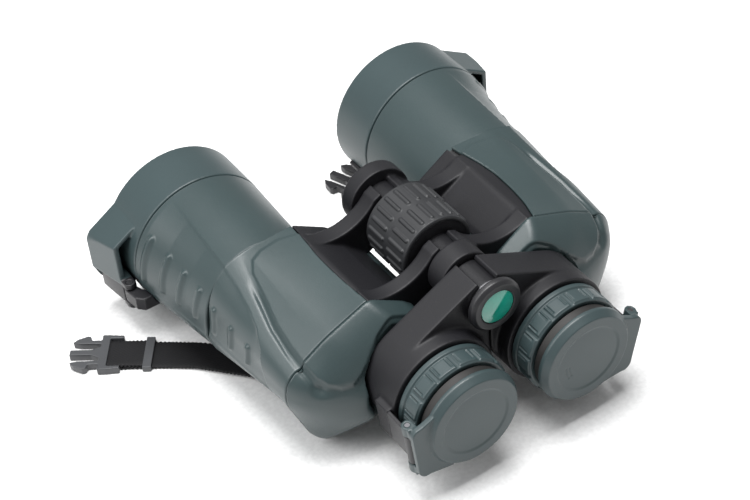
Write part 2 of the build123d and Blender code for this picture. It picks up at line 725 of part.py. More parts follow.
# ---- write every sub-part ----
def both_sides():
    """Pieces that are mirror images on the two sides."""
    return {
        "objective_tube": objective_tube(),
        "barrel_armour": barrel_armour(),
        "objective_doublet": objective_doublet(),
        "objective_cell": objective_cell(),
        "prism_housing": prism_housing(),
        "housing_armour": housing_armour(),
        "prisms": prisms(),
        "prism_shelf": prism_shelf(),
        "objective_cap": objective_cap(),
        "cap_bracket": cap_bracket(),
        "cap_pin": cap_pin(),
        "eyepiece_tube": eyepiece_tube(),
        "eyepiece_lenses": eyepiece_lenses(),
        "eyepiece_ring": eyepiece_ring(),
        "eyecup": eyecup(),
        "strap_lug": strap_lug(),
    }


def main():
    os.makedirs("parts", exist_ok=True)
    for name, shape in both_sides().items():
        for side in ("left", "right"):
            save(f"{side}_{name}", on_side(shape, side))
    leaning = {
        "rear_cover": rear_cover,
        "eye_cap": eye_cap,
        "eye_cap_arm": eye_cap_arm,
        "eye_cap_pin": eye_cap_pin,
    }
    for name, make in leaning.items():
        for side in ("left", "right"):
            save(f"{side}_{name}", on_side(make(side), side))
    for side, route in (("left", LEFT_ROUTE), ("right", RIGHT_ROUTE)):
        save(f"{side}_webbing", webbing(route))
        save(f"{side}_keeper", keeper(route, KEEPER_SETBACK[side]))
        save(f"{side}_buckle", buckle(route))
    save("left_ocular_arm", on_side(ocular_arm("left", HINGE_R), "left"))
    save("right_ocular_arm", ocular_arm("right", HINGE_R + RUNNING))
    save("left_bridge_frame", left_bridge_frame())
    save("right_bridge_frame", right_bridge_frame())
    central = {
        "front_hinge_tube": front_hinge_tube,
        "rear_hinge_tube": rear_hinge_tube,
        "tripod_insert": tripod_insert,
        "focus_hub": focus_hub,
        "focus_grip": focus_grip,
        "spindle": spindle,
        "bridge_hub": bridge_hub,
        "chrome_collar": chrome_collar,
        "emblem_ring": emblem_ring,
        "emblem_dome": emblem_dome,
    }
    for name, make in central.items():
        save(name, make())


main()
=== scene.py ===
import json
import math

import bmesh
import bpy
import numpy as np
from mathutils import Matrix, Vector


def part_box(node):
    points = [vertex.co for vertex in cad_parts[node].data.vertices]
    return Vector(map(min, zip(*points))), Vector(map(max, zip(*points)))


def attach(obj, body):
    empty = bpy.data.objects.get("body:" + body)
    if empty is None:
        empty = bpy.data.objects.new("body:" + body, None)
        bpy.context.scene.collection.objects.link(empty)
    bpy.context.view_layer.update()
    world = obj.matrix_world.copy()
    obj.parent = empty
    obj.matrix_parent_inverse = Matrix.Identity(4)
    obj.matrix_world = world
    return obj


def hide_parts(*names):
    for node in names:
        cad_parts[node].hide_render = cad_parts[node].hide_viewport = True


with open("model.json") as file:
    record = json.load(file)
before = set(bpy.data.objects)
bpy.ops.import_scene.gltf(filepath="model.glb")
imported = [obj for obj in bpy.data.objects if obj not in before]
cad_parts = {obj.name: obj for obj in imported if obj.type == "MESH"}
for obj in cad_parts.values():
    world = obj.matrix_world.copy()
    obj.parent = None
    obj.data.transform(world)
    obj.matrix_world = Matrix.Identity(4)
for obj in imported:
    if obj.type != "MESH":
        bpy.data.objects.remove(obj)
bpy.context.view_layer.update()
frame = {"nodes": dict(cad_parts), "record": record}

# Porro-prism binoculars lying level on a table with their caps closed.
# Lengths are in millimetres until a mesh is written. +Y looks out of the objectives.
# A "station" is a distance behind the front faces of the objective caps.
MM = 0.001
NODES = frame["nodes"]
NODE_BODY = {n: body for body, members in frame["record"]["behaviour"]["bodies"].items() for n in members}
SIDES = {"left": -1, "right": 1}


def slot_of(node):
    """The material slot the record gives a node."""
    return next(s["material_slot"] for s in frame["record"]["subparts"] if s["node"] == node)


def corner_mm(node, which):
    """A corner of a CAD node's box in millimetres; which is 0 for the lowest and 1 for the highest."""
    return np.array(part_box(node)[which]) / MM


FRONT_Y = corner_mm("right_objective_cap", 1)[1]
HINGE_Z = (corner_mm("focus_hub", 0)[2] + corner_mm("focus_hub", 1)[2]) / 2
OPTIC_Z = (corner_mm("right_eyecup", 0)[2] + corner_mm("right_eyecup", 1)[2]) / 2
EYEPIECE_X = (corner_mm("right_eyecup", 0)[0] + corner_mm("right_eyecup", 1)[0]) / 2
OBJECTIVE_X = (corner_mm("right_objective_cell", 0)[0] + corner_mm("right_objective_cell", 1)[0]) / 2
BARREL_START = FRONT_Y - corner_mm("right_barrel_armour", 1)[1]
BARREL_END = FRONT_Y - corner_mm("right_barrel_armour", 0)[1]
HOUSING_END = FRONT_Y - corner_mm("right_housing_armour", 0)[1]
CAP_R = (corner_mm("right_objective_cap", 1)[2] - corner_mm("right_objective_cap", 0)[2]) / 2


# ---- camera ----
# The camera is given by where it stands, where it looks, and its roll.
VIEW_AZIMUTH, VIEW_ELEVATION, VIEW_ROLL = (math.radians(a) for a in (-29.945, 42.288, -5.697))
VIEW_OFFSET = (-39.842, 42.751, 889.035)
VIEW_FOCUS = (0.0, FRONT_Y, OPTIC_Z)
LENS_MM, SENSOR_MM = 93.857, 36.0


def add_camera():
    ca, sa = math.cos(VIEW_AZIMUTH), math.sin(VIEW_AZIMUTH)
    ce, se = math.cos(VIEW_ELEVATION), math.sin(VIEW_ELEVATION)
    level = Vector((ca, sa, 0))
    back = Vector((sa * ce, -ca * ce, se))
    up = back.cross(level)
    cr, sr = math.cos(VIEW_ROLL), math.sin(VIEW_ROLL)
    x_axis = level * cr + up * sr
    y_axis = up * cr - level * sr
    tx, ty, tz = VIEW_OFFSET
    place = Vector(VIEW_FOCUS) - x_axis * tx - y_axis * ty + back * tz
    data = bpy.data.cameras.new("camera")
    data.lens = LENS_MM
    data.sensor_width = SENSOR_MM
    data.clip_start = 0.05
    data.clip_end = 20
    camera = bpy.data.objects.new("camera", data)
    turn = Matrix((x_axis, y_axis, back)).transposed().to_4x4()
    camera.matrix_world = Matrix.Translation(place * MM) @ turn
    bpy.context.scene.collection.objects.link(camera)
    bpy.context.scene.camera = camera


add_camera()


# ---- mesh helpers ----
def y_at(station):
    return FRONT_Y - station


def smooth_step(value, start, end):
    t = np.clip((value - start) / (end - start), 0, 1)
    return t * t * (3 - 2 * t)


def evened(line, rounds):
    """Averages a line's inner points with their neighbours, in place."""
    for _ in range(rounds):
        line[1:-1] = (line[:-2] + 2 * line[1:-1] + line[2:]) / 4


def make_piece(name, points, faces, side="right"):
    """A mesh object from points in millimetres; the left side is the right one mirrored."""
    points = np.array(points, float)
    if side == "left":
        points = points * (-1, 1, 1)
        faces = [tuple(reversed(f)) for f in faces]
    mesh = bpy.data.meshes.new(name)
    mesh.from_pydata((points * MM).tolist(), [], faces)
    mesh.validate()
    shape = bmesh.new()
    shape.from_mesh(mesh)
    if shape.calc_volume(signed=True) < 0:
        bmesh.ops.reverse_faces(shape, faces=shape.faces)
    shape.to_mesh(mesh)
    shape.free()
    mesh.shade_smooth()
    piece = bpy.data.objects.new(name, mesh)
    bpy.context.scene.collection.objects.link(piece)
    return piece


def grid_faces(rows, columns, wrap_rows=False):
    """Quads of a grid whose columns close on themselves, numbered row by row."""
    faces = []
    for i in range(rows if wrap_rows else rows - 1):
        here, after = i * columns, ((i + 1) % rows) * columns
        for j in range(columns):
            k = (j + 1) % columns
            faces.append((here + j, here + k, after + k, after + j))
    return faces


def closed_skin(name, grid, side="right", wrap_rows=False):
    """A closed mesh from a grid of shape (rows, columns, 3); open ends get a flat lid."""
    rows, columns = grid.shape[:2]
    faces = grid_faces(rows, columns, wrap_rows)
    if not wrap_rows:
        faces.append(tuple(reversed(range(columns))))
        faces.append(tuple((rows - 1) * columns + j for j in range(columns)))
    return make_piece(name, grid.reshape(-1, 3), faces, side)


def grid_normals(grid):
    """Unit normals of a grid that is closed along its columns."""
    along = np.gradient(grid, axis=0)
    around = np.roll(grid, -1, axis=1) - np.roll(grid, 1, axis=1)
    normals = np.cross(around, along)
    normals *= np.sign(np.sum(normals * (grid - grid.mean(axis=1, keepdims=True))))
    return normals / np.maximum(np.linalg.norm(normals, axis=2, keepdims=True), 1e-9)


def coat(piece, material):
    """Gives the piece one material."""
    piece.data.materials.clear()
    piece.data.materials.append(material)


def finish_piece(piece, node, material):
    """The piece takes over its CAD node's body and slot."""
    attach(piece, NODE_BODY[node])
    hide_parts(node)
    coat(piece, material)


def extra_piece(piece, beside, slot):
    """A piece that has no CAD node of its own and moves with the node beside it."""
    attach(piece, NODE_BODY[beside])
    coat(piece, MATERIALS[slot])


def softened(name, node, voxel, rounds, additions=(), cuts=()):
    """A CAD node's shape with any additions and less any cuts, as a dense mesh with rounded edges."""
    shape = bmesh.new()
    shape.from_mesh(NODES[node].data)
    for addition in additions:
        shape.from_mesh(addition.data)
        bpy.data.objects.remove(addition)
    bmesh.ops.remove_doubles(shape, verts=shape.verts, dist=1e-6)
    mesh = bpy.data.meshes.new(name)
    shape.to_mesh(mesh)
    shape.free()
    piece = bpy.data.objects.new(name, mesh)
    bpy.context.scene.collection.objects.link(piece)
    for cutter in cuts:
        carve(piece, cutter)
    remesh = piece.modifiers.new("remesh", "REMESH")
    remesh.mode = "VOXEL"
    remesh.voxel_size = voxel * MM
    add_smoothing(piece, rounds)
    apply_modifiers(piece)
    piece.data.shade_smooth()
    return piece


def add_smoothing(piece, rounds, group=""):
    """Evens out the mesh over a number of rounds, in a vertex group if one is named."""
    relax = piece.modifiers.new("relax", "SMOOTH")
    relax.factor = 0.5
    relax.iterations = rounds
    relax.vertex_group = group


def apply_modifiers(piece):
    bpy.context.view_layer.update()
    evaluated = piece.evaluated_get(bpy.context.evaluated_depsgraph_get())
    mesh = bpy.data.meshes.new_from_object(evaluated)
    old = piece.data
    piece.modifiers.clear()
    piece.data = mesh
    bpy.data.meshes.remove(old)
    mesh.name = piece.name


def carve(piece, cutter, operation="DIFFERENCE"):
    """Takes the cutter away from the piece, or keeps only what they share."""
    change = piece.modifiers.new("carve", "BOOLEAN")
    change.operation = operation
    change.solver = "EXACT"
    change.object = cutter
    apply_modifiers(piece)
    bpy.data.objects.remove(cutter)


def prism(name, points, side):
    """A solid between two matching rings of points, given one after the other."""
    count = len(points) // 2
    faces = [tuple(range(count)), tuple(reversed(range(count, 2 * count)))]
    faces += [(j, j + count, (j + 1) % count + count, (j + 1) % count) for j in range(count)]
    return make_piece(name, points, faces, side)


def prism_between(name, outline, front, rear, side):
    """A solid with a cross-section outline (x, z) between two stations."""
    return prism(name, [(x, y_at(station), z) for station in (front, rear) for x, z in outline], side)


def plan_prism(name, outline, low, high, side):
    """A solid with a plan outline (x, station) between two heights."""
    return prism(name, [(x, y_at(station), z) for z in (low, high) for x, station in outline], side)


def eased(piece, width):
    """Rounds the piece's sharp edges."""
    bevel = piece.modifiers.new("bevel", "BEVEL")
    bevel.width = width * MM
    bevel.segments = 4
    bevel.limit_method = "ANGLE"
    apply_modifiers(piece)
    piece.data.shade_smooth()
    return piece


def relaxed(piece, weight, rounds):
    """Smooths the piece where the weight of its points in millimetres is above zero."""
    group = piece.vertex_groups.new(name="relax")

    def fill(points, normals):
        shares = weight(points)
        for index in np.nonzero(shares > 0.02)[0]:
            group.add([int(index)], float(shares[index]), "REPLACE")
        return points

    moved_points(piece, fill)
    add_smoothing(piece, rounds, group.name)
    apply_modifiers(piece)


def moved_points(piece, change):
    """Passes the mesh's points and normals in millimetres through a function and keeps its answer."""
    count = len(piece.data.vertices)
    points, normals = np.zeros(count * 3), np.zeros(count * 3)
    piece.data.vertices.foreach_get("co", points)
    piece.data.vertices.foreach_get("normal", normals)
    result = change(points.reshape(-1, 3) / MM, normals.reshape(-1, 3))
    piece.data.vertices.foreach_set("co", (result * MM).ravel())
    piece.data.update()


# ---- materials ----
DRIFT_SIZE = 22
DUST_SIZE = 0.55
BUMP_HEIGHT = 0.12


def procedural(name, colour, roughness, grain, bump, tint, speckle=0.0, metallic=0.0, **constants):
    """Colour drifts over centimetres, and a fine grain gives bump and uneven gloss. Grain size in mm."""
    material = bpy.data.materials.new(name)
    material.use_nodes = True
    nodes, links = material.node_tree.nodes, material.node_tree.links
    shader = nodes["Principled BSDF"]
    place = nodes.new("ShaderNodeTexCoord")

    def noise(size_mm, detail):
        node = nodes.new("ShaderNodeTexNoise")
        node.inputs["Scale"].default_value = 1 / (size_mm * MM)
        node.inputs["Detail"].default_value = detail
        links.new(place.outputs["Object"], node.inputs["Vector"])
        return node.outputs["Fac"]

    def ramp(source, low, high, start, end):
        node = nodes.new("ShaderNodeMapRange")
        links.new(source, node.inputs["Value"])
        for key, value in (("From Min", low), ("From Max", high), ("To Min", start), ("To Max", end)):
            node.inputs[key].default_value = value
        return node.outputs["Result"]

    def feed(socket, value):
        """Links another node's output in, or sets a plain number or colour."""
        if hasattr(value, "is_linked"):
            links.new(value, socket)
        elif isinstance(value, float):
            socket.default_value = value
        else:
            socket.default_value = (*value, 1)

    def mixed(factor, first, second):
        node = nodes.new("ShaderNodeMix")
        node.data_type = "RGBA"
        for key, value in (("Factor", factor), ("A", first), ("B", second)):
            feed(node.inputs[key], value)
        return node.outputs["Result"]

    drift = noise(DRIFT_SIZE, 3)
    fine = noise(grain, 4)
    darker = [c * (1 - tint) for c in colour]
    lighter = [c * (1 + tint) for c in colour]
    base = mixed(ramp(drift, 0.3, 0.7, 0, 1), darker, lighter)
    mottled = mixed(ramp(fine, 0.35, 0.65, 0, 1), [c * 0.9 for c in colour], [c * 1.1 for c in colour])
    result = mixed(0.5, base, mottled)
    if speckle:
        dust = ramp(noise(DUST_SIZE, 1), 0.70, 0.80, 0, speckle)
        result = mixed(dust, result, [min(1, c * 3 + 0.05) for c in colour])
    links.new(result, shader.inputs["Base Color"])
    links.new(ramp(fine, 0.3, 0.7, roughness - 0.06, roughness + 0.06), shader.inputs["Roughness"])
    if bump:
        relief = nodes.new("ShaderNodeBump")
        relief.inputs["Strength"].default_value = bump
        relief.inputs["Distance"].default_value = BUMP_HEIGHT * MM
        links.new(fine, relief.inputs["Height"])
        links.new(relief.outputs["Normal"], shader.inputs["Normal"])
    shader.inputs["Metallic"].default_value = metallic
    for key, value in constants.items():
        shader.inputs[key.replace("_", " ")].default_value = value
    return material


ARMOUR_GREEN = (0.029, 0.046, 0.048)
MATERIALS = {
    "armour_green": procedural("armour_rubber", ARMOUR_GREEN, 0.36, 0.4, 0.30, 0.06, speckle=0.10),
    "cap_green": procedural("cap_rubber", (0.031, 0.049, 0.052), 0.40, 0.3, 0.15, 0.06, speckle=0.05),
    "black_casting": procedural("textured_lacquer", (0.010, 0.010, 0.012), 0.5, 0.45, 0.55, 0.08,
                                speckle=0.2, Specular_IOR_Level=0.3),
    "black_plastic": procedural("satin_plastic", (0.012, 0.012, 0.014), 0.42, 0.3, 0.2, 0.1, speckle=0.1),
    "tube_black": procedural("anodised_black", (0.014, 0.014, 0.016), 0.36, 0.6, 0.1, 0.15, metallic=0.3),
    "focus_rubber": procedural("wheel_rubber", (0.014, 0.015, 0.017), 0.52, 0.3, 0.3, 0.08, speckle=0.1),
    "eyecup_rubber": procedural("eyecup_rubber", (0.014, 0.013, 0.0125), 0.55, 0.35, 0.3, 0.1),
    "casting_alloy": procedural("cast_alloy", (0.05, 0.05, 0.052), 0.5, 0.6, 0.4, 0.1, metallic=0.6),
    "coated_glass": procedural("coated_glass", (0.5, 0.55, 0.68), 0.08, 3.0, 0.0, 0.05,
                               Transmission_Weight=1.0, IOR=1.52, Coat_Weight=0.6),
    "prism_glass": procedural("prism_glass", (0.86, 0.9, 0.88), 0.08, 3.0, 0.0, 0.03,
                              Transmission_Weight=1.0, IOR=1.57),
    "steel": procedural("turned_steel", (0.16, 0.16, 0.17), 0.4, 0.25, 0.15, 0.06, metallic=1.0),
    "brass": procedural("turned_brass", (0.62, 0.44, 0.17), 0.3, 0.3, 0.15, 0.08, metallic=1.0),
    "chrome": procedural("chrome", (0.72, 0.72, 0.76), 0.16, 0.6, 0.05, 0.04, metallic=1.0),
    "emblem_green": procedural("emblem_resin", (0.0, 0.27, 0.19), 0.14, 4.0, 0.0, 0.15,
                               Coat_Weight=1.0, Coat_Roughness=0.03),
    "webbing_black": procedural("woven_nylon", (0.007, 0.007, 0.008), 0.6, 0.5, 0.5, 0.3, speckle=0.15,
                                Sheen_Weight=0.04, Sheen_Roughness=0.4, Specular_IOR_Level=0.2),
    "buckle_plastic": procedural("buckle_acetal", (0.050, 0.052, 0.056), 0.4, 0.4, 0.2, 0.1),
}
BLACK_BUCKLE = procedural("black_acetal", (0.012, 0.012, 0.014), 0.34, 0.4, 0.2, 0.1)


# ---- armour: barrel, prism housing and rear cover ----
# The black saddle: where it starts, how far down it reaches, and its outer edge in plan as (station, x).
SADDLE_START = 79.2
# On the left the black comes 8 mm lower than on the right, down the housing's inner wall: painted shade.
SADDLE_AND_SHADE_Z = {"left": 44.5, "right": 52.5}
SADDLE_EDGE = {
    "left": [(72, 39.8), (84, 40.4), (96, 41.4), (112, 41.2), (122, 40.4), (132, 39.6)],
    "right": [
        (72, 41.4), (79, 42.4), (88, 44.8), (98, 46.4), (110, 46.3), (120, 45.2), (127, 43.0), (132, 41.6),
    ],
}
SADDLE_GAP = 0.12
# Section corners as (x, z), from the saddle's upper edge round the outer side and back to its lower edge.
FRONT_CORNERS = [
    (39.5, 63.9), (60.0, 63.2), (83.6, 59.0), (86.0, 6.0), (57.0, 4.6), (12.0, 6.0),
    (9.0, 40.0), (24.5, 54.7),
]
FRONT_RADII = [5, 30, 24, 24, 30, 12, 7, 6]
REAR_CORNERS = [
    (39.5, 63.9), (60.0, 55.6), (80.6, 43.5), (81.8, 32.0), (69.5, 0.2), (12.0, 2.0),
    (9.0, 40.0), (24.5, 54.7),
]
REAR_RADII = [5, 40, 11, 16, 16, 12, 7, 6]
BARREL_REAR = (57.6, 33.6, 28.8)
ARMOUR = 2.2
SEAM = 0.35
# Each skin stops this far short of its CAD node's ends.
SKIN_GAP = 0.15


def rounded_outline(corners, radii, per_corner=48, per_edge=24):
    """Points of a polygon with filleted corners, the same number for each corner and each edge."""
    count = len(corners)
    corners = np.array(corners, float)
    arcs = []
    for i in range(count):
        here, before, after = corners[i], corners[i - 1], corners[(i + 1) % count]
        to_before = (before - here) / np.linalg.norm(before - here)
        to_after = (after - here) / np.linalg.norm(after - here)
        half = math.acos(np.clip(to_before @ to_after, -1, 1)) / 2
        reach = radii[i] / math.tan(half)
        middle = (to_before + to_after) / np.linalg.norm(to_before + to_after)
        centre = here + middle * radii[i] / math.sin(half)
        start, end = here + to_before * reach - centre, here + to_after * reach - centre
        a, b = math.atan2(start[1], start[0]), math.atan2(end[1], end[0])
        sweep = (b - a + math.pi) % (2 * math.pi) - math.pi
        angles = a + sweep * np.linspace(0, 1, per_corner)
        arcs.append(centre + radii[i] * np.stack([np.cos(angles), np.sin(angles)], 1))
    points = []
    for i in range(count):
        points.extend(arcs[i])
        start, end = arcs[i][-1], arcs[(i + 1) % count][0]
        points.extend(start + (end - start) * t for t in np.linspace(0, 1, per_edge + 2)[1:-1])
    return np.array(points)


def evenly_spaced(outlines, count):
    """Matched outlines resampled so that their mean has even spacing."""
    mean = sum(outlines) / len(outlines)
    closed = np.vstack([mean, mean[:1]])
    length = np.concatenate([[0], np.cumsum(np.linalg.norm(np.diff(closed, axis=0), axis=1))])
    wanted = np.linspace(0, length[-1], count, endpoint=False)
    result = []
    for outline in outlines:
        loop = np.vstack([outline, outline[:1]])
        result.append(np.stack([np.interp(wanted, length, loop[:, k]) for k in (0, 1)], 1))
    return result


HOUSING_FRONT, HOUSING_REAR = evenly_spaced(
    [rounded_outline(FRONT_CORNERS, FRONT_RADII), rounded_outline(REAR_CORNERS, REAR_RADII)], 440
)


def section_grid(stations, sections):
    """Rows of (x, z) sections placed at their stations."""
    grid = np.zeros((len(stations), sections[0].shape[0], 3))
    for i, (station, section) in enumerate(zip(stations, sections)):
        grid[i, :, 0], grid[i, :, 1], grid[i, :, 2] = section[:, 0], y_at(station), section[:, 1]
    return grid


def thick_shell(name, grid, thickness, side, edge=SEAM):
    """A closed shell from an outer grid, its edges eased, with an inner face one thickness inside."""
    normals = grid_normals(grid)
    inner = grid - normals * thickness
    inner[:, :, 1] = grid[:, :, 1]
    first, last = grid[0] - normals[0] * edge, grid[-1] - normals[-1] * edge
    first[:, 1], last[:, 1] = grid[0, :, 1], grid[-1, :, 1]
    outer = grid.copy()
    outer[0, :, 1] -= edge
    outer[-1, :, 1] += edge
    rows = np.concatenate([first[None], outer, last[None], inner[[-1, len(inner) // 2, 0]]])
    return closed_skin(name, rows, side, wrap_rows=True)


# Relief of the rubber, for the right side.
# The grip's crease runs lengthwise as (station, angle about the barrel axis).
# The rubber dips between the crease and the angle DIP_END.
CREASE = [
    (26, 67), (40, 65), (50, 63.5), (63, 61.5), (73, 60), (84, 56), (94.5, 50), (103, 42), (110.3, 29),
    (115, 3), (117.3, -11), (119, -40),
]
CREASE_DEPTH = [(28, 0.0), (42, 1.7), (58, 2.4), (70, 1.9), (76, 1.7), (105, 1.7), (117, 1.0), (120, 0.0)]
DIP_END = -12
# The raised top panel in plan as (x, station), with a trough along its outer side and a valley behind it.
PANEL = [
    (20, 79.6), (39, 79.6), (48.7, 76.6), (57.4, 77.3), (62.5, 79.3), (65.4, 84.1), (67.5, 96.9),
    (70.1, 109), (71.1, 120.9), (71.2, 131.2), (69.9, 136.8), (67.2, 140.2), (62.5, 142.9), (57.9, 144.1),
    (53.4, 143.8), (50.3, 143.0), (46.4, 141.3), (42.3, 139.7), (38, 138.8), (33.3, 137.8), (20, 137),
]
TROUGH_DEPTH, VALLEY_DEPTH = 1.15, 1.25
RIB_STATIONS = (31, 43, 54, 65.5, 76.5, 89, 101)
RIB_HEIGHT = {"left": 1.2, "right": 0.5}
BARREL_MM_PER_DEGREE = 0.5


def inside_distance(x, y, polygon):
    """Distance to a polygon's edge, positive inside."""
    corners = np.array(polygon, float)
    nearest = np.full(x.shape, 1e9)
    crossings = np.zeros(x.shape, int)
    for (ax, ay), (bx, by) in zip(corners, np.roll(corners, -1, axis=0)):
        t = np.clip(((x - ax) * (bx - ax) + (y - ay) * (by - ay)) / ((bx - ax) ** 2 + (by - ay) ** 2), 0, 1)
        nearest = np.minimum(nearest, np.hypot(x - ax - t * (bx - ax), y - ay - t * (by - ay)))
        spans = (ay > y) != (by > y)
        crossings += spans & (x < (bx - ax) * (y - ay) / (by - ay + 1e-12) + ax)
    return np.where(crossings % 2 == 1, nearest, -nearest)


def ribs(angle, station):
    """The finger ribs, as a share of their height. Those on the housing sit lower."""
    share = 0 * station
    for i, rib in enumerate(RIB_STATIONS):
        top, bottom = 36.5 - 2.2 * i, -4 + 0.7 * i
        if rib > BARREL_END:
            top, bottom = top - 4, bottom - 5
        middle, half = (top + bottom) / 2, (top - bottom) / 2 * BARREL_MM_PER_DEGREE
        lean = (angle - middle) * 0.02
        along = np.maximum(np.abs(angle - middle) * BARREL_MM_PER_DEGREE - half + 1.5, 0)
        reach = np.hypot(station - rib - lean, along)
        share += (1 - smooth_step(reach, 0.2, 2.3)) * (angle > -60)
    return share


def relief(points, rib_height):
    """How far the rubber stands proud of its plain section at points (x, y, z) of the right side."""
    x, station, z = points[..., 0], FRONT_Y - points[..., 1], points[..., 2]
    angle = np.degrees(np.arctan2(z - BARREL_REAR[1], x - BARREL_REAR[0]))
    line = np.interp(station, *zip(*CREASE))
    depth = np.interp(station, *zip(*CREASE_DEPTH))
    below = np.clip((line - angle) / (line - DIP_END), 0, 1)
    dip = np.where(angle > -90, np.sin(math.pi * below) ** 0.5, 0)
    height = rib_height * ribs(angle, station) - depth * dip
    edge = inside_distance(x, station, PANEL)
    upper = smooth_step(z, 36, 42)
    raised = 0.75 + 0.5 * smooth_step(station, 132, 141)
    height += raised * smooth_step(edge, -0.55, 0.6) * upper
    trough = np.exp(-(((edge + 2.3) / 1.15) ** 2)) * smooth_step(station, 84, 96) * (x > 58)
    height -= TROUGH_DEPTH * trough * (1 - smooth_step(station, 139.5, 143)) * upper
    valley = np.exp(-(((edge + 2.8) / 1.8) ** 2)) * smooth_step(station, 136, 141)
    return height - VALLEY_DEPTH * valley * upper


def with_relief(grid, side):
    return grid + grid_normals(grid) * relief(grid, RIB_HEIGHT[side])[..., None]


def barrel_grid():
    stations = np.linspace(BARREL_START + SKIN_GAP, BARREL_END - SKIN_GAP, 96)
    angles = np.linspace(0, 2 * math.pi, 400, endpoint=False)
    front = (OBJECTIVE_X, OPTIC_Z, CAP_R - 0.1)
    sections = []
    for station in stations:
        t = (station - BARREL_START) / (BARREL_END - BARREL_START)
        x, z, radius = [a + (b - a) * t for a, b in zip(front, BARREL_REAR)]
        sections.append(np.stack([x + radius * np.cos(angles), z + radius * np.sin(angles)], 1)[::-1])
    return section_grid(stations, sections)


def housing_grid():
    stations = np.linspace(BARREL_END + SKIN_GAP, HOUSING_END - SKIN_GAP, 108)
    share = (stations - BARREL_END) / (HOUSING_END - BARREL_END)
    return section_grid(stations, [HOUSING_FRONT + (HOUSING_REAR - HOUSING_FRONT) * t for t in share])


def saddle_cutter(side, gap, start):
    """A prism over the black saddle and, on the left, the painted shade below it, widened by the gap. Its
    outer edge bows outwards along the housing.
    """
    stations = np.linspace(start, HOUSING_END + 2, 40)
    bow = np.interp(stations, *zip(*SADDLE_EDGE[side])) + gap
    evened(bow, 6)
    outline = [*zip(bow, stations), (0, stations[-1]), (0, stations[0])]
    return plan_prism("cutter", outline, SADDLE_AND_SHADE_Z[side] - gap, 90, side)


SHOULDER_SWELL = 2.4
HEM_ROUNDS = 330


def cover_hem(points):
    """The share of smoothing at the cover's lower rear edge, which is well rounded."""
    return smooth_step(-points[:, 2], -34, -26) * smooth_step(FRONT_Y - points[:, 1], 131.5, 135)


def shape_cover(cover, side):
    """Rounds the cover's lower edge, fills out its upper outer shoulder and lays the relief on it."""
    sign = SIDES[side]

    def bulged(points, normals):
        facing = np.clip(0.9 * sign * normals[:, 0] + 0.44 * normals[:, 2], 0, 1) ** 2
        station = FRONT_Y - points[:, 1]
        swell = SHOULDER_SWELL * smooth_step(station, 131, 141) * smooth_step(points[:, 0] * sign, 60, 70)
        return points + normals * (facing * swell)[:, None]

    def raised(points, normals):
        return points + normals * relief(points * (sign, 1, 1), RIB_HEIGHT["left"])[:, None]

    relaxed(cover, cover_hem, HEM_ROUNDS)
    moved_points(cover, bulged)
    moved_points(cover, raised)


for side in SIDES:
    barrel = thick_shell(f"{side}_barrel_skin", with_relief(barrel_grid(), side), 2.0, side)
    finish_piece(barrel, f"{side}_barrel_armour", MATERIALS["armour_green"])
    housing = thick_shell(f"{side}_housing_skin", with_relief(housing_grid(), side), ARMOUR - 0.2, side)
    carve(housing, saddle_cutter(side, SADDLE_GAP, BARREL_END - 1))
    housing.data.shade_smooth()
    finish_piece(housing, f"{side}_housing_armour", MATERIALS["armour_green"])
    cover = softened(f"{side}_cover_shell", f"{side}_rear_cover", 0.5, 5)
    shape_cover(cover, side)
    finish_piece(cover, f"{side}_rear_cover", MATERIALS["armour_green"])


# ---- black saddle frames; on the left the black runs lower as painted shade ----
for side in SIDES:
    plain = housing_grid()
    saddle = thick_shell("saddle", plain - grid_normals(plain) * 0.05, ARMOUR - 0.1, side)
    carve(saddle, saddle_cutter(side, -SADDLE_GAP, SADDLE_START), "INTERSECT")
    frame_piece = softened(f"{side}_saddle_frame", f"{side}_bridge_frame", 0.45, 5, [saddle])
    finish_piece(frame_piece, f"{side}_bridge_frame", MATERIALS["black_casting"])


# ---- turned parts with ribs ----
def turned_grid(name, profile, axis, columns, push, side="right"):
    """A ring turned about an axis along Y from a (radius, station) profile. push raises its outside."""
    angles = np.linspace(0, 2 * math.pi, columns, endpoint=False)
    profile = np.array(profile, float)
    radius, station = profile[:, 0][:, None], profile[:, 1][:, None] + 0 * angles
    outside = radius > radius.max() - 1.5
    radius = radius + push(station, angles[None, :] + 0 * station) * outside
    x, z = axis
    grid = np.stack([x + radius * np.cos(angles), y_at(station), z + radius * np.sin(angles)], -1)
    return closed_skin(name, grid[::-1], side, wrap_rows=True)


def ring_profile(outer, inner, front, rear, ease, rows):
    """Outer face in even rows with eased edges, then the inner face."""
    spots = np.linspace(front + ease * 0.4, rear - ease * 0.4, rows)
    shape = [(outer - ease, front), (outer - ease * 0.3, front + ease * 0.15)]
    shape += [(outer, s) for s in spots]
    shape += [(outer - ease * 0.3, rear - ease * 0.15), (outer - ease, rear), (inner, rear), (inner, front)]
    return shape


def window(value, half, soft):
    """1 within half of zero, falling to 0 over soft."""
    return 1 - smooth_step(np.abs(value), half - soft / 2, half + soft / 2)


def wrapped(angles, count, phase=0.0):
    """Angle from the nearest of count evenly spaced places."""
    step = 2 * math.pi / count
    return (angles - phase + step / 2) % step - step / 2


GRIP_LOW, GRIP_HIGH = corner_mm("focus_grip", 0), corner_mm("focus_grip", 1)
GRIP_R = (GRIP_HIGH[0] - GRIP_LOW[0]) / 2
GRIP_FRONT, GRIP_REAR = FRONT_Y - GRIP_HIGH[1], FRONT_Y - GRIP_LOW[1]
GRIP_MIDDLE = (GRIP_FRONT + GRIP_REAR) / 2
GRIP_BARS = 22
BAR_ROW_OFFSET = 6.6
BAR_HALF_LENGTH = 4.5
BAR_HEIGHT = 0.75
WHEEL_CORE_R = 14.6


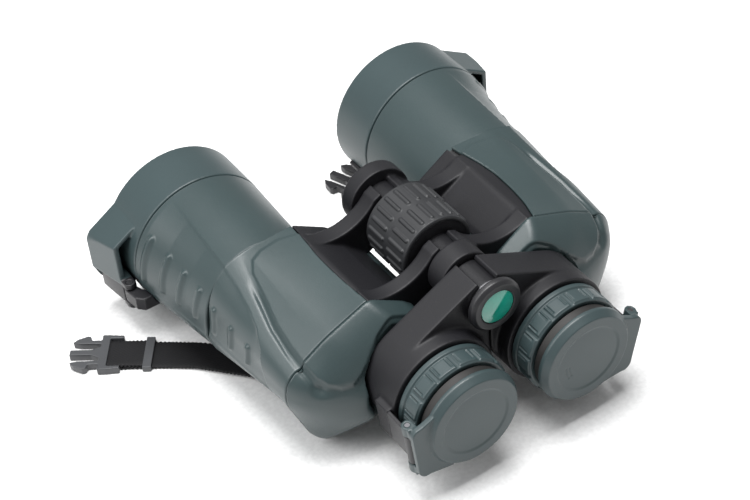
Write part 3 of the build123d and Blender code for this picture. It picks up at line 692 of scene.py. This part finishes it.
def wheel_bars(station, angles):
    """Two staggered rows of narrow raised bars with a smooth band between them."""
    height = 0 * station
    for row, centre in enumerate((GRIP_MIDDLE - BAR_ROW_OFFSET, GRIP_MIDDLE + BAR_ROW_OFFSET)):
        across = wrapped(angles, GRIP_BARS, row * math.pi / GRIP_BARS) * GRIP_R
        reach = np.hypot(across, np.maximum(np.abs(station - centre) - BAR_HALF_LENGTH, 0))
        height += BAR_HEIGHT * (1 - smooth_step(reach, 0.35, 1.25))
    return height


grip_profile = ring_profile(GRIP_R - 0.6, WHEEL_CORE_R, GRIP_FRONT, GRIP_REAR, 1.1, 84)
grip = turned_grid("focus_wheel_sleeve", grip_profile, (0, HINGE_Z), 660, wheel_bars)
finish_piece(grip, "focus_grip", MATERIALS["focus_rubber"])


RING_PADS = 14
RING_PAD_R = 22.0
PAD_HALF_WIDTH, PAD_HALF_LENGTH = 4.1, 3.6
PAD_HEIGHT = 0.75
RING_INNER_R = 18.7


def ring_pads(front, rear):
    """Rectangular pads parted by grooves, each with a pair of fine slots, behind a plain front band."""

    def push(station, angles):
        across = wrapped(angles, RING_PADS) * RING_PAD_R
        lengthwise = station - (front + 0.62 * (rear - front))
        pad = window(across, PAD_HALF_WIDTH, 0.5) * window(lengthwise, PAD_HALF_LENGTH, 0.5)
        slot = window(np.abs(across) - 3.1, 0.35, 0.35) * window(lengthwise + 0.7, 2.6, 0.5)
        band = 1 - smooth_step(station, front + 2.2, front + 2.7)
        return PAD_HEIGHT * np.maximum(pad - 0.75 * slot, band)

    return push


for side in SIDES:
    low, high = corner_mm(f"{side}_eyepiece_ring", 0), corner_mm(f"{side}_eyepiece_ring", 1)
    front, rear, outer = FRONT_Y - high[1], FRONT_Y - low[1], (high[2] - low[2]) / 2
    profile = ring_profile(outer - 0.7, RING_INNER_R, front, rear, 0.7, 44)
    pads = ring_pads(front, rear)
    ring = turned_grid(f"{side}_grip_ring", profile, (EYEPIECE_X, OPTIC_Z), 560, pads, side)
    finish_piece(ring, f"{side}_eyepiece_ring", MATERIALS["cap_green"])


# ---- caps, arms, hub and small fittings, with rounded edges ----
# Each as (name, mesh size in millimetres, rounds of smoothing).
ROUNDED = [
    ("objective_cap", 0.45, 6), ("eye_cap", 0.32, 3), ("ocular_arm", 0.45, 9), ("eye_cap_arm", 0.3, 4),
    ("cap_bracket", 0.35, 5), ("strap_lug", 0.3, 3), ("keeper", 0.25, 3), ("buckle", 0.3, 4),
]
CAP_FACE_STATION = 183.2
GROOVE_RADII = (11.2, 9.6)


def cap_face(side):
    """The eye cap's face: a slight rim round a domed middle, and on the right cap two short arc grooves."""
    sign = SIDES[side]

    def shaped(points, normals):
        across, up = points[:, 0] * sign - EYEPIECE_X, points[:, 2] - OPTIC_Z
        radius = np.hypot(across, up)
        facing = np.clip(-normals[:, 1], 0, 1) * (FRONT_Y - points[:, 1] > CAP_FACE_STATION)
        rise = -0.45 * (1 - smooth_step(radius, 14.6, 15.8)) + 0.35 * (1 - (radius / 15) ** 2).clip(0, 1)
        if side == "right":
            angle = np.degrees(np.arctan2(up, across))
            sweep = window(angle + 168, 17, 4) + window(angle - 192, 17, 4)
            rise = rise - 0.3 * sweep * sum(window(radius - groove, 0.35, 0.5) for groove in GROOVE_RADII)
        points = points.copy()
        points[:, 1] -= rise * facing
        return points

    return shaped


# What is cut off round the objective cap's lug, as (x, z) corners and how round each one is.
SHARP = 0.1
LUG_OUTSIDE = [
    (90, 50.15), (102.6, 42.7), (102.6, 24.9), (99.9, 18.4), (94.0, 12.9), (89, 10.9), (89, -5),
    (115, -5), (115, 75), (90, 75),
]
LUG_ROUNDING = [SHARP, 8, 5, 4, 3, SHARP, SHARP, SHARP, SHARP, SHARP]
LUG_REAR = 19.6
# The same round the eye cap's wing, from the eyepiece axis, and how far each side's wing leans in degrees.
WING_REACH, WING_HIGH, WING_LOW, WING_ROOT = 27.6, 11.6, -15.6, 22.3
WING_OUTSIDE = [
    (WING_ROOT, WING_HIGH + 0.7), (WING_REACH, WING_HIGH), (WING_REACH, WING_LOW),
    (WING_ROOT, WING_LOW - 0.7), (WING_ROOT, -40), (40, -40), (40, 40), (WING_ROOT, 40),
]
WING_ROUNDING = [SHARP, 4.0, 4.6, SHARP, SHARP, SHARP, SHARP, SHARP]
WING_LEAN = {"left": 5.0, "right": 14.0}
WING_FRONT = 179.7
# The barrel's cap bracket ends here.
BRACKET_REAR = 33


def lug_trim(side):
    outline = rounded_outline(LUG_OUTSIDE, LUG_ROUNDING, 16, 1)
    return prism_between("trim", outline, -1, LUG_REAR, side)


def wing_trim(side):
    """Rounds the corners of the eye cap's wing, which leans about the eyepiece axis."""
    x, z = rounded_outline(WING_OUTSIDE, WING_ROUNDING, 16, 1).T
    lean = math.radians(WING_LEAN[side])
    leaning_x = EYEPIECE_X + x * math.cos(lean) + z * math.sin(lean)
    leaning_z = OPTIC_Z - x * math.sin(lean) + z * math.cos(lean)
    return prism_between("trim", np.stack([leaning_x, leaning_z], 1), WING_FRONT, 186, side)


def bracket_trim(side):
    return prism_between("trim", [(70, 0), (70, 60), (110, 60), (110, 0)], BRACKET_REAR, 50, side)


TRIMS = {"objective_cap": lug_trim, "eye_cap": wing_trim, "cap_bracket": bracket_trim}


def blacken_hinge(cap):
    """The objective cap's hinge ears and the room under its lug are black."""
    cap.data.materials.append(MATERIALS["black_plastic"])
    for face in cap.data.polygons:
        x, station, z = abs(face.center.x) / MM, FRONT_Y - face.center.y / MM, face.center.z / MM
        under_lug = x > 89 and z < 23.9 and station > 3
        hinge_ear = x > 90.5 and z < 28.5 and station > LUG_REAR + 0.2
        if under_lug or hinge_ear:
            face.material_index = 1


for side in SIDES:
    for part, voxel, rounds in ROUNDED:
        node = f"{side}_{part}"
        cuts = [TRIMS[part](side)] if part in TRIMS else []
        piece = softened(f"{node}_soft", node, voxel, rounds, cuts=cuts)
        if part == "eye_cap":
            moved_points(piece, cap_face(side))
        black = side == "right" and part in ("keeper", "buckle")
        finish_piece(piece, node, BLACK_BUCKLE if black else MATERIALS[slot_of(node)])
        if part == "objective_cap":
            blacken_hinge(piece)
for node, voxel, rounds in (("bridge_hub", 0.4, 4), ("emblem_ring", 0.3, 12)):
    finish_piece(softened(f"{node}_soft", node, voxel, rounds), node, MATERIALS[slot_of(node)])


# ---- small black pieces on the objective caps ----
LUG_PLAN = [(90.5, 2.0), (99.6, 2.0), (98.9, 8.0), (97.4, 19.2), (93.4, 19.6), (90.5, 18.0)]
TAB_STATIONS = (8.0, 20.0)
BLACK_PIECE_EASE = 0.8


def lug_liner(side):
    """The black block under the cap's lug."""
    return eased(plan_prism(f"{side}_lug_liner", LUG_PLAN, 13.0, 23.7, side), BLACK_PIECE_EASE)


def finger_tab(side):
    """A small raised pad low on the cap's inner side, wrapped round the cap."""
    angles = np.radians(np.linspace(201, 216, 9))
    arcs = ((CAP_R - 0.6, angles), (CAP_R + 1.9, angles[::-1]))
    outline = [
        (OBJECTIVE_X + radius * np.cos(a), OPTIC_Z + radius * np.sin(a)) for radius, run in arcs for a in run
    ]
    return eased(prism_between(f"{side}_finger_tab", outline, *TAB_STATIONS, side), BLACK_PIECE_EASE)


for side in SIDES:
    for piece in (lug_liner(side), finger_tab(side)):
        extra_piece(piece, f"{side}_objective_cap", "black_plastic")


# ---- webbing ----
def smooth_route(route, count=220):
    """An even, rounded line through the corners of a plan route, as points and sideways directions."""
    corners = np.array(route, float)
    length = np.concatenate([[0], np.cumsum(np.linalg.norm(np.diff(corners, axis=0), axis=1))])
    spots = np.linspace(0, length[-1], count)
    line = np.stack([np.interp(spots, length, corners[:, k]) for k in (0, 1)], 1)
    evened(line, 160)
    along = np.gradient(line, axis=0)
    along /= np.linalg.norm(along, axis=1, keepdims=True)
    return line, np.stack([along[:, 1], -along[:, 0]], 1), np.linspace(0, 1, count)


SCALLOP_PITCH = 1.7
POINTS_ACROSS = 33


def ribbon(name, route, width, thickness, lift, lean=0.0):
    """A woven band with scalloped edges, lifted off the table and leaning at its start, and its length."""
    line, aside, share = smooth_route(route)
    length = np.sum(np.linalg.norm(np.diff(line, axis=0), axis=1))
    across = np.concatenate([np.linspace(-1, 1, POINTS_ACROSS), np.linspace(1, -1, POINTS_ACROSS)])
    top = np.repeat([1.0, 0.0], POINTS_ACROSS)
    rows = []
    for (x, s), (ax, as_), t in zip(line, aside, share):
        scallop = 0.22 * math.sin(t * length / SCALLOP_PITCH * 2 * math.pi)
        half = width / 2 - 0.25 + scallop
        edge = 1 - 0.45 * np.abs(across) ** 8
        weave = 0.14 * np.sin(across * 34) * np.sin(t * length * 3.1)
        base = lift + lean * (1 - t) ** 2 * (across + 1)
        z = base + thickness / 2 + (top - 0.5) * (thickness * edge) + weave * (top * 2 - 1)
        rows.append(np.stack([x + ax * across * half, y_at(s + as_ * across * half), z], 1))
    return closed_skin(name, np.array(rows)), length


# Plan routes as (x, station) from the lug post to the buckle bar.
LEFT_ROUTE = [(-66.0, 78.0), (-83.1, 56.1), (-96.0, 45.5), (-115.0, 31.7)]
RIGHT_ROUTE = [(66.0, 78.0), (55.0, 65.0), (42.0, 33.0), (32.4, 7.0)]
WEB_WIDTH = 16.0
UPPER_PLY_LENGTH = 19.0
for side, route in (("left", LEFT_ROUTE), ("right", RIGHT_ROUTE)):
    band, length = ribbon(f"{side}_band", route, WEB_WIDTH, 1.3, lift=0.15, lean=0.9)
    finish_piece(band, f"{side}_webbing", MATERIALS["webbing_black"])
    bar, before = np.array(route[-1]), np.array(route[-2])
    upper_route = [bar + (before - bar) * UPPER_PLY_LENGTH / np.linalg.norm(before - bar), bar]
    upper, _ = ribbon(f"{side}_upper_ply", upper_route, WEB_WIDTH - 0.5, 1.2, lift=1.55)
    extra_piece(upper, f"{side}_webbing", "webbing_black")


# ---- remaining CAD nodes keep their meshes ----
for name, node in NODES.items():
    if node.hide_render:
        continue
    coat(node, MATERIALS[slot_of(name)])


# ---- floor and light ----
LIGHT_AIM = Vector((0, 0, 0.03))
WORLD_STRENGTH = 0.38


def add_floor():
    """A pale floor that reaches four metres each way."""
    mesh = bpy.data.meshes.new("floor")
    far = 4.0
    mesh.from_pydata([(-far, -far, 0), (far, -far, 0), (far, far, 0), (-far, far, 0)], [], [(0, 1, 2, 3)])
    floor = bpy.data.objects.new("floor", mesh)
    bpy.context.scene.collection.objects.link(floor)
    floor.data.materials.append(procedural("floor_white", (0.86, 0.86, 0.86), 0.5, 2.0, 0.0, 0.01))


def add_softbox(name, place, size, power):
    """A rectangular light in metres and watts, turned towards the binoculars."""
    data = bpy.data.lights.new(name, "AREA")
    data.shape = "RECTANGLE"
    data.size, data.size_y = size
    data.energy = power
    light = bpy.data.objects.new(name, data)
    light.location = place
    light.rotation_euler = (LIGHT_AIM - Vector(place)).to_track_quat("-Z", "Y").to_euler()
    bpy.context.scene.collection.objects.link(light)


def add_world():
    world = bpy.data.worlds.new("studio")
    world.use_nodes = True
    background = world.node_tree.nodes["Background"]
    background.inputs["Color"].default_value = (1, 1, 1, 1)
    background.inputs["Strength"].default_value = WORLD_STRENGTH
    bpy.context.scene.world = world
    bpy.context.scene.view_settings.view_transform = "Standard"


add_floor()
add_world()
add_softbox("overhead", (0.0, 0.05, 0.95), (0.6, 0.5), 13)
add_softbox("left", (-0.75, 0.15, 0.75), (0.35, 0.9), 7)
